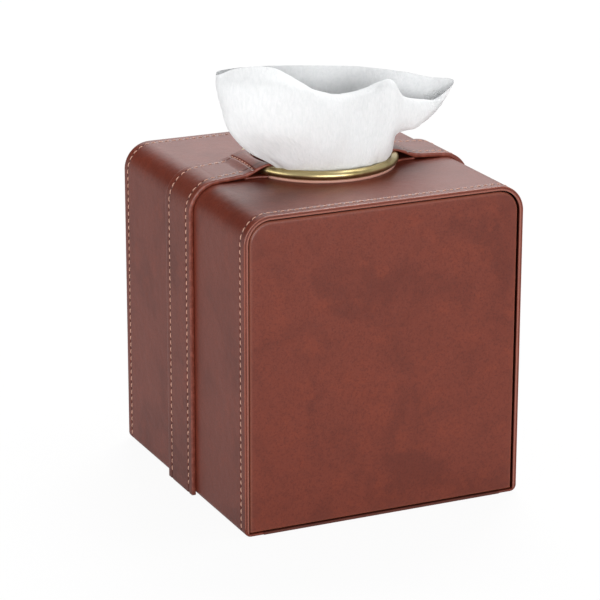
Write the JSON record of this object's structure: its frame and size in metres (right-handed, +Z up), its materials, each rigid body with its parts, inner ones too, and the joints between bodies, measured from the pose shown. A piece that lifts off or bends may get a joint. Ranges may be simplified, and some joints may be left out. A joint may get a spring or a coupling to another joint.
{
  "type": "tissue box with drawer",
  "caption": "Cube tissue box cover in stitched brown leather: fixed sleeve with crossing strap and round metal mouth, full-front drawer for the pile, and a tissue standing up.",
  "frame": {"origin": "middle of the underside, on the surface the box stands on", "axes": "+X to the right seen from the drawer's front, +Y to the back, +Z up; the drawer opens along -Y"},
  "size_m": [0.1396, 0.1386, 0.1993],
  "materials": {
    "leather": "smooth mottled brown leather, semi-gloss",
    "strap_leather": "smooth brown strap leather with dark edges",
    "underside_leather": "matt brown leather sheet",
    "board": "raw fibreboard",
    "tray_board": "fibreboard faced in brown",
    "batten_wood": "planed wood",
    "suede": "short suede nap",
    "foam": "thin foam",
    "magnet_steel": "plated",
    "brass": "satin",
    "tissue": "soft two-ply tissue paper"
  },
  "bodies": {
    "case": {"outer_cover": "leather", "front_rim_facing": "leather", "rear_rim_facing": "leather", "right_wall_board": "board", "left_wall_board": "board", "top_board": "board", "right_corner_batten": "batten_wood", "left_corner_batten": "batten_wood", "base_board": "board", "base_cover": "underside_leather", "case_lining": "suede", "case_magnets": "magnet_steel", "mouth_collar": "leather", "ring_seat": "leather", "ring": "brass", "right_strap": "strap_leather", "left_strap": "strap_leather", "back_panel_leather": "leather", "back_panel_padding": "foam", "back_panel_board": "board", "back_panel_lining": "suede"},
    "drawer": {"drawer_front_leather": "leather", "drawer_front_padding": "foam", "drawer_front_board": "board", "drawer_front_lining": "suede", "drawer_strike_discs": "magnet_steel", "drawer_floor_board": "tray_board", "drawer_floor_lining": "suede", "drawer_right_side": "tray_board", "drawer_left_side": "tray_board", "drawer_back_board": "tray_board", "tissue_pile": "tissue"},
    "tissue": {"tissue_sheet": "tissue"}
  },
  "joints": [
    {"name": "drawer_slide", "type": "slide", "parent": "case", "child": "drawer", "axis": [0, -1, 0], "range_m": [0, 0.115]},
    {"name": "tissue_pull", "type": "slide", "parent": "case", "child": "tissue", "axis": [0, 0, 1], "range_m": [0, 0.035]}
  ]
}
